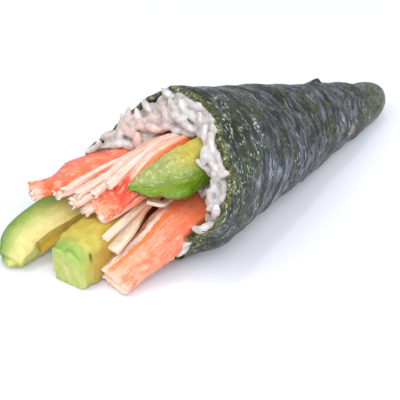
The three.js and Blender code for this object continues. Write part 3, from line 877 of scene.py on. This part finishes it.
# Torn strands of the top stick: width, height, and the points they run through from the
# free end to the buried end.
STRANDS = [
    (5.4, 1.7, (-79.5, 22.5, 22), (-71, 17.6, 25), (-60, 11.5, 29)),
    (5.6, 2, (-78, 17.2, 20.6), (-71, 13.8, 23.4), (-63, 9.5, 27)),
    (5, 2.2, (-76.8, 13.6, 18.3), (-72, 11.3, 20.6), (-66, 8.5, 23.5)),
    (2.4, 1.8, (-78.5, 20.5, 23.6), (-69, 15.6, 28), (-57, 9, 32.2), (-48, 6, 34)),
    (4, 1.6, (-76, 17.2, 23), (-69.2, 13, 26.8), (-62, 8.6, 31.8), (-50, 4, 36)),
    (4, 1.6, (-73.6, 12.4, 23.6), (-67.8, 9.6, 28.4), (-61.6, 6.4, 33), (-50, 2, 37.4)),
    (4.2, 1.6, (-70.8, 8.6, 27), (-66.2, 6.4, 30.6), (-60.2, 3.4, 35), (-49, 0.4, 38)),
    (4.4, 2.2, (-75.5, 7.4, 17.6), (-69, 4.3, 20.7), (-62, 0.5, 24.5)),
]
STRAND_TAPER = (0.9, 1.0, 0.9, 0.75)
THREAD_SPACING = 1.6
LAYER_STEP = 1.3
RAGGED_DEPTH = 1.6


def crab_finish(name, paint):
    """Pressed fish in the colours that paint(look, threads, clouds) lays on."""
    look = Finish(name, Subsurface_Weight=0.25, Subsurface_Radius=(0.004, 0.0015, 0.001),
                  Subsurface_Scale=0.4)
    threads = look.drawn((1, 0.7, 0.035), 9, 4, 0.6, 0.2)
    clouds = look.drawn((1, 0.8, 0.1), 2.6, 4, 0.55, 0.4)
    paint(look, threads, clouds)
    normal = look.bump(threads, 0.6 * MM, 0.8)
    normal = look.bump(look.speckle(800, 3), 0.3 * MM, 0.6, normal)
    gloss = (look.speckle(300, 3), 0.4, 0.65, 0.26, 0.5)
    return look.done(gloss, normal)


def paint_crab_front(look, threads, clouds):
    """A white left edge, an orange stripe beside it, then salmon to the right. Deep in, painted
    light makes it a brighter orange, and painted shade darkens the left edge.
    """
    sway = look.times(look.maths("SUBTRACT", clouds, 0.5), 0.3)
    across = look.plus(look.x, sway, (look.z, 26, 38, 0, 0.14))
    look.colour = look.ramp(
        (across, -1, 1),
        (0.17, 196, 150, 122), (0.21, 244, 222, 206), (0.33, 246, 218, 200),
        (0.37, 248, 128, 66), (0.5, 244, 126, 70), (0.58, 244, 144, 104),
        (0.78, 244, 148, 114), (0.92, 240, 132, 96), (1, 232, 112, 74),
    )
    meat = (across, -0.12, 0.12)
    blotches = look.drawn((1.4, 1, 0.16), 1.5, 2, 0.5)
    look.coat((250, 204, 184), (threads, 0.46, 0.64), meat, z=(2, 30, 0.4, 0.25))
    look.coat((244, 184, 160), (blotches, 0.36, 0.66), look.plus(meat, 0.15),
              z=(36, 4, 0.15, 0.6))
    look.coat((240, 102, 56), (threads, 0.44, 0.36), z=(14, 34, 0.15, 0.5))
    # Painted light: a brighter orange deep in, towards the mouth.
    look.coat((255, 134, 86), z=(36, 46, 0, 0.85))
    # Painted shade: dark red along the left edge, deep in.
    look.coat((116, 40, 18), (across, -0.64, -0.7), z=(23, 27))
    look.coat((250, 210, 190), (threads, 0.36, 0.6, 0.25, 0.7), z=(5, 0.5))
    look.coat((248, 216, 196), z=(0.5, 0, 0, 0.8))


def paint_crab_left(look, threads, clouds):
    """Red with paler clouds and threads, and a pale torn tip."""
    look.colour = look.ramp(
        (look.x, -1, 1),
        (0, 216, 104, 90), (0.25, 232, 116, 92), (0.6, 238, 118, 84), (1, 236, 98, 42),
    )
    look.coat((248, 172, 146), (clouds, 0.46, 0.62, 0, 0.55))
    look.coat((230, 98, 48), (threads, 0.46, 0.38, 0, 0.5))
    look.coat((248, 190, 164), z=(14, 5, 0, 0.6))
    look.coat((236, 192, 178), y=(0.75, 0.45), z=(9, 4))
    look.coat((242, 140, 92), y=(0.6, 0.85), z=(8, 5))


def paint_crab_top(look, threads, clouds):
    """Salmon to red from the free end to the mouth, and pale flesh on top."""
    look.colour = look.ramp(
        (look.z, 0, 30),
        (0, 244, 160, 126), (0.18, 240, 138, 98), (0.36, 236, 116, 74),
        (0.75, 232, 96, 58), (1, 220, 74, 40),
    )
    look.coat((208, 60, 28), (clouds, 0.42, 0.6, 0, 0.5))
    look.coat((248, 182, 154), (threads, 0.5, 0.62, 0, 0.7))
    look.coat((206, 40, 16), 0.85, x=(0.8, 0.9), y=(0.3, 0.6), z=(19, 25))
    flesh = look.mix((threads, 0.38, 0.6), (236, 160, 130), (240, 194, 176))
    far = (look.plus(look.z, look.times(clouds, 5)), 31, 36)
    look.coat(flesh, far)
    look.coat((226, 116, 66), far, x=(0.93, 0.955))
    torn = look.maths("MAXIMUM", look.where(x=(0.7, 0.84), z=(4.4, 2.4)),
                      look.where(y=(0.1, -0.5), z=(1.2, 0)))
    look.coat((246, 200, 180), torn)


def paint_strand(look, threads, clouds):
    """Pale pink flesh with orange lines along its edges."""
    look.colour = look.mix((threads, 0.4, 0.6), (244, 194, 174), (248, 222, 210))
    look.coat((242, 158, 126), (clouds, 0.5, 0.66, 0, 0.5))
    side = (look.maths("ABSOLUTE", look.x), 0.82, 0.96)
    look.coat((234, 114, 62), side, z=(2, 14, 0.2, 0.9))


def crab_front_relief(mark):
    """A layered free end, with the upper layer's end set back, and torn right edge."""
    x, y, along = mark
    relief = 0.3 * lumps(x * 7, y * 3, along * 0.05)
    if along < 0.4:
        relief -= LAYER_STEP * rise(y, 0, 0.12) + 0.5 * hump(y, 0.05, 0.1)
        relief += 0.5 * lumps(x * 5, y * 3, 4)
    teeth = 0.5 * lumps(x, y, along * 0.9) + 1.2 * rise(along, 14, 30)
    return relief + rise(x, 0.85, 0.95) * teeth


def torn_end(depth, seed):
    """Lengthwise threads, and a ragged free end."""
    threads = fibres(THREAD_SPACING, depth, seed)

    def relief(mark):
        ragged = lumps(mark.x * 3.5, mark.y * 2.5, seed) * rise(mark.z, 1.5, 0)
        return threads(mark) + RAGGED_DEPTH * ragged

    return relief


def make_crab_front():
    piece = loft("crab_stick_front_slab", SLAB, CRAB_FRONT, crab_front_relief,
                 sides=96, rows=110, tension=0.3, bulge=0.3)
    crab_finish("crab_front_flesh", paint_crab_front).put_on(piece)
    return piece


def make_crab_left():
    piece = loft("crab_stick_left_slab", SLAB, CRAB_LEFT, torn_end(0.5, 50), sides=64, rows=96)
    crab_finish("crab_left_flesh", paint_crab_left).put_on(piece)
    return piece


def make_strand(name, width, height, path, seed):
    stations = [(at, width * share, height * share) for at, share in zip(path, STRAND_TAPER)]
    return loft(name, SLAB, stations, torn_end(0.35, seed), sides=28, rows=44, bulge=0.3,
                round_end=0.2)


def make_crab_top():
    body = loft("crab_top_body", SLAB, CRAB_TOP, fibres(1.3, 0.4, 60), sides=80, rows=96)
    crab_finish("crab_top_skin", paint_crab_top).put_on(body)
    strand_flesh = crab_finish("crab_strand_flesh", paint_strand)
    pieces = [body]
    for i, (width, height, *path) in enumerate(STRANDS):
        piece = make_strand(f"crab_strand_{i}", width, height, path, 70 + i)
        strand_flesh.put_on(piece)
        pieces.append(piece)
    return joined("crab_stick_top_strands", pieces)


# ---- Pale strips ----

RIBBON = [(-1, -1), (-1, 1), (1, 1), (1, -1)]
STRIPS = {
    "white_strip_left": [
        ((-80.4, 1.7, 15.6), 2.2, 1.4),
        ((-70.8, 1.9, 17.6), 2.2, 1.4),
        ((-60.8, 1.3, 20.2), 2, 1.4),
        ((-50, -2, 23), 2, 1.4),
    ],
    "white_strip_right": [
        ((-78.2, 1.2, 10.4), 4.8, 1.5),
        ((-70.4, 1.2, 14.2), 4.4, 1.5),
        ((-62.9, 1.9, 18), 2.8, 1.4),
        ((-50, 0.6, 21.5), 2.2, 1.4),
    ],
    "white_strip_back": [
        ((-63.3, 0.2, 21.2), 1.6, 1.2),
        ((-60.6, -3.6, 20.5), 2, 1.2),
        ((-57.6, -3.2, 20.2), 2, 1.4),
        ((-50, -4, 24), 2, 1.4),
    ],
}


def strip_finish():
    """Cream flesh in threads, browner towards the mouth."""
    look = Finish("pale_strip", Subsurface_Weight=0.3, Subsurface_Scale=0.5,
                  Subsurface_Radius=(0.004, 0.0025, 0.0015))
    threads = look.drawn((1, 0.7, 0.05), 7, 3)
    look.colour = look.mix((threads, 0.35, 0.65), (216, 192, 166), (236, 222, 204))
    look.coat((206, 152, 116), z=(8, 20, 0, 0.85))
    normal = look.bump(threads, 0.4 * MM, 0.7)
    return look.done(0.4, normal)


def make_strips():
    pale = strip_finish()
    pieces = {}
    for i, (node, stations) in enumerate(STRIPS.items()):
        piece = loft(node + "_slice", RIBBON, stations, fibres(1.5, 0.12, 90 + i),
                     sides=40, rows=60, tension=0.05, bulge=0.1, round_end=0.15)
        pale.put_on(piece)
        pieces[node] = piece
    return pieces


# ---- Rice ----

GRAIN_LENGTH = 6.6
GRAIN_WIDTH = 2.9
GRAIN_FLATNESS = 0.84
GRAIN_BLUNTNESS = 1.15
GRAIN_BEND = 0.14
GRAIN_TAPER = 0.14
GRAIN_SIZES = (0.86, 1.12)
GRAIN_SEED = 5
LEAST_SPACING = 2.8
FILLING_GAP = 1.25
SHEET_GAP = 1.0
RIM_GAP = 0.15
WALL_GAP = 1.2
LIE_TRIES = 6
GRAIN_TRIES = 6000
SEARCH_REACH = 29
SEARCH_DISTANCE = 185
# Grains along the rim and far inside it: how many are tried, and between which degrees.
RIM_GRAINS = 60
RIM_ARC = (-78, 108)
FAR_GRAINS = 260
FAR_ARC = (-112, -62)
RICE_VOXEL = 0.4
RICE_KEPT = 0.53
# Grains that lie loose over the fillings and the rim: their middles, and how they run.
LOOSE_GRAINS = [
    ((-55.2, -15.5, 36.5), (0.286, -0.823, -0.487)),
    ((-54.6, -15.7, 35.6), (0.3, -0.8, -0.52)),
    ((-53.4, -16.6, 33.4), (0.2, -0.7, -0.7)),
    ((-62.6, -13.6, 8.8), (0.4, -0.5, 0.6)),
    ((-62.4, -11.6, 7.6), (0.6, -0.6, 0.1)),
    ((-62.6, -14, 11.4), (0.2, -0.7, 0.4)),
]
LOOSE_SIZE = 0.95


def make_grain():
    """One cooked grain: a stretched ball with blunt, uneven ends."""
    deselect()
    bpy.ops.mesh.primitive_uv_sphere_add(segments=10, ring_count=8, radius=1)
    grain = bpy.context.object
    for vertex in grain.data.vertices:
        x, y, z = vertex.co
        blunt = math.copysign(abs(z) ** GRAIN_BLUNTNESS, z)
        wide = 1 - GRAIN_TAPER * z
        bend = GRAIN_BEND * (1 - z * z)
        vertex.co = (blunt * GRAIN_LENGTH / 2, y * wide * GRAIN_WIDTH / 2,
                     (x * GRAIN_FLATNESS * wide + bend) * GRAIN_WIDTH / 2)
    return grain


def node_surfaces():
    """The frame's nodes as surfaces in millimetres that rays can hit."""
    trees = {}
    for name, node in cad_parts.items():
        points = [vertex.co / MM for vertex in node.data.vertices]
        faces = [tuple(face.vertices) for face in node.data.polygons]
        trees[name] = BVHTree.FromPolygons(points, faces)
    return trees


def first_hit(trees, origin, direction):
    """The name of the first surface that a ray meets, the place and the normal there."""
    hits = []
    for name, tree in trees.items():
        place, normal, _, reach = tree.ray_cast(origin, direction)
        if place is not None:
            hits.append((reach, name, place, normal))
    return min(hits, key=lambda hit: hit[0])[1:] if hits else (None, None, None)


def clear_of(trees, points, gap):
    return all(tree.find_nearest(p, gap)[0] is None for tree in trees for p in points)


def lying(draw, outward, tilt):
    """A grain's lie, flat on the face that looks outward but for a random tilt."""
    lie = outward.to_track_quat("Z", "Y").to_matrix()
    return lie @ Euler((draw.uniform(-0.3, 0.3), draw.uniform(-tilt, tilt),
                        draw.uniform(0, TURN))).to_matrix()


def pokes_out(end):
    """True where a grain's end would come through the nori."""
    offset = end - APEX
    distance, up, front = (offset.dot(way) for way in (AXIS, AXIS_UP, TOWARDS_FRONT))
    angle = math.atan2(front, up)
    wall = distance * SLOPE - lip_tuck(distance, angle) - WALL_GAP
    return distance < rim_at(angle) + 0.5 and math.hypot(up, front) > wall


def grain_places():
    """Where the loose grains lie: on the rice that can be seen into the mouth, and over
    the nori's rim."""
    draw = random.Random(GRAIN_SEED)
    trees = node_surfaces()
    fillings = [tree for name, tree in trees.items() if name not in ("rice", "nori")]
    places = []
    centres = []

    def lay(centre, outward, tilt, sheet_gap):
        if any((centre - other).length < LEAST_SPACING for other in centres):
            return
        for _ in range(LIE_TRIES):
            lie = lying(draw, outward, tilt)
            size = draw.uniform(*GRAIN_SIZES)
            reach = lie @ Vector((GRAIN_LENGTH * size / 2 - 1.0, 0, 0))
            body = [centre - reach, centre, centre + reach]
            clear = (clear_of(fillings, body, FILLING_GAP)
                     and clear_of([trees["nori"]], body, sheet_gap))
            if clear and not pokes_out(body[0]) and not pokes_out(body[2]):
                centres.append(centre)
                places.append((centre, lie, size))
                return

    def lay_by_rim(degrees, past_rim, inside, facing=0.0):
        angle = math.radians(degrees)
        distance = round_cone(RIM, degrees) + past_rim
        radius = distance * SLOPE - lip_tuck(distance, angle) - inside
        place = cone_point(distance, angle, radius)
        inward = cone_point(distance, angle, 0) - place
        lay(place, AXIS + inward.normalized() * facing, 0.4, RIM_GAP)

    for middle, run in LOOSE_GRAINS:
        centres.append(Vector(middle))
        lie = Vector(run).to_track_quat("X", "Z").to_matrix()
        places.append((centres[-1], lie, LOOSE_SIZE))
    for k in range(RIM_GRAINS):
        degrees = blend(*RIM_ARC, k / (RIM_GRAINS - 1)) + draw.uniform(-2, 2)
        lay_by_rim(degrees, draw.uniform(-2.2, 0.3), draw.uniform(1.2, 2.6))
    for _ in range(FAR_GRAINS):
        lay_by_rim(draw.uniform(*FAR_ARC), draw.uniform(-9, 1.8), draw.uniform(1.6, 2.6), 1.0)
    for _ in range(GRAIN_TRIES):
        up, side = (draw.uniform(-SEARCH_REACH, SEARCH_REACH) for _ in range(2))
        origin = APEX + AXIS * SEARCH_DISTANCE + AXIS_UP * up + TOWARDS_FRONT * side
        name, place, normal = first_hit(trees, origin, -AXIS)
        if name == "rice":
            outward = (AXIS * 2.0 + normal).normalized()
            lay(place + outward * draw.uniform(-0.3, 0.7), outward, 0.14, SHEET_GAP)
    return places


def make_core():
    """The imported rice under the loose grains: a copy of the frame's own heap."""
    core = copied(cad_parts["rice"])
    only(core)
    bpy.ops.object.mode_set(mode="EDIT")
    bpy.ops.mesh.select_all(action="SELECT")
    bpy.ops.mesh.remove_doubles(threshold=MERGE_DISTANCE)
    bpy.ops.object.mode_set(mode="OBJECT")
    return core


def make_rice():
    """Grains laid one by one on the core, then stuck together as cooked rice is."""
    grain = make_grain()
    grains = [make_core()]
    for centre, lie, size in grain_places():
        grains.append(copied(grain))
        place = Matrix.Translation(centre * MM) @ (lie * size * MM).to_4x4()
        grains[-1].data.transform(place)
    bpy.data.objects.remove(grain)
    rice = joined("rice_heap", grains)
    apply_modifier(rice, "REMESH", mode="VOXEL", voxel_size=RICE_VOXEL * MM)
    apply_modifier(rice, "SMOOTH", factor=0.5, iterations=2)
    apply_modifier(rice, "DECIMATE", ratio=RICE_KEPT)
    bpy.ops.object.shade_smooth()
    rice_finish().put_on(rice)
    return rice


def rice_finish():
    """Cooked rice: chalky and clear by turns, and pink where the crab stick touches it."""
    look = Finish("cooked_rice", Subsurface_Weight=0.85, Subsurface_Scale=0.75,
                  Subsurface_Radius=(0.0036, 0.0032, 0.0029))
    chalk = look.speckle(330, 3)
    look.colour = look.mix((chalk, 0.38, 0.62), (172, 166, 162), (198, 196, 196))
    look.coat((172, 158, 140), (look.speckle(110, 2), 0.45, 0.65, 0, 0.45))
    crab_place = (-0.054, 0.012, 0.038)
    from_crab = look.add("ShaderNodeVectorMath", {0: look.object, 1: crab_place},
                         operation="DISTANCE").outputs[1]
    look.coat((216, 170, 160), (from_crab, 0.014, 0.004), (chalk, 0.6, 0.45, 0.15, 0.6))
    normal = look.bump(look.speckle(700, 2), 0.4 * MM, 0.6)
    return look.done(0.3, normal)


# ---- The roll ----


def stand_for(piece, node):
    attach(piece, "root")
    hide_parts(node)


def make_roll():
    stand_for(make_nori(), "nori")
    for node, piece in make_avocados().items():
        stand_for(piece, node)
    stand_for(make_crab_front(), "crab_stick_front")
    stand_for(make_crab_left(), "crab_stick_left")
    stand_for(make_crab_top(), "crab_stick_top")
    for node, piece in make_strips().items():
        stand_for(piece, node)
    stand_for(make_rice(), "rice")


# ---- Table, light and camera, in metres ----

CAMERA_PLACE = Vector((-0.3193, -0.2428, 0.2550))
CAMERA_AIM = Vector((-0.02815, 0.00947, 0.0))
LENS_LENGTH = 126
SENSOR_WIDTH = 36
TABLE_SIZE = 16
STUDIO_COLOUR = (0.91, 0.925, 1.0, 1.0)
STUDIO_STRENGTH = 0.6
# Soft lamps that face the roll: place, size and power.
LAMPS = {
    "key": ((-0.5, 0.2, 0.6), 0.6, 2.4),
    "front_fill": ((-0.6, -0.35, 0.3), 0.7, 2.7),
    "high_fill": ((-0.36, -0.42, 0.62), 0.4, 2.3),
    "right_fill": ((0.2, -0.8, 0.45), 1.0, 3.6),
    "glint": ((0.02, 0.06, 0.9), 0.08, 1.0),
    "side_glint": ((0.3, -0.6, 0.5), 0.07, 0.6),
}


def make_table():
    deselect()
    bpy.ops.mesh.primitive_plane_add(size=TABLE_SIZE, location=(0, 0, 0))
    table = bpy.context.object
    table.name = table.data.name = "table"
    look = Finish("pale_table", Base_Color=(231.11, 233.02, 241.05), Roughness=0.36)
    look.put_on(table)


def aimed(thing):
    """Turns a lamp or the camera towards the roll."""
    turn = (CAMERA_AIM - thing.location).to_track_quat("-Z", "Y")
    thing.rotation_euler = turn.to_euler()


def make_light():
    world = bpy.data.worlds.new("studio")
    bpy.context.scene.world = world
    world.use_nodes = True
    background = world.node_tree.nodes["Background"]
    background.inputs["Color"].default_value = STUDIO_COLOUR
    background.inputs["Strength"].default_value = STUDIO_STRENGTH
    for name, (place, size, power) in LAMPS.items():
        bpy.ops.object.light_add(type="AREA", location=place)
        lamp = bpy.context.object
        lamp.name = name
        lamp.data.size = size
        lamp.data.energy = power
        aimed(lamp)


def make_camera():
    bpy.ops.object.camera_add(location=CAMERA_PLACE)
    camera = bpy.context.object
    aimed(camera)
    camera.data.sensor_width = SENSOR_WIDTH
    camera.data.lens = LENS_LENGTH
    bpy.context.scene.camera = camera
    bpy.context.scene.view_settings.view_transform = "Standard"


make_camera()
make_table()
make_light()
make_roll()
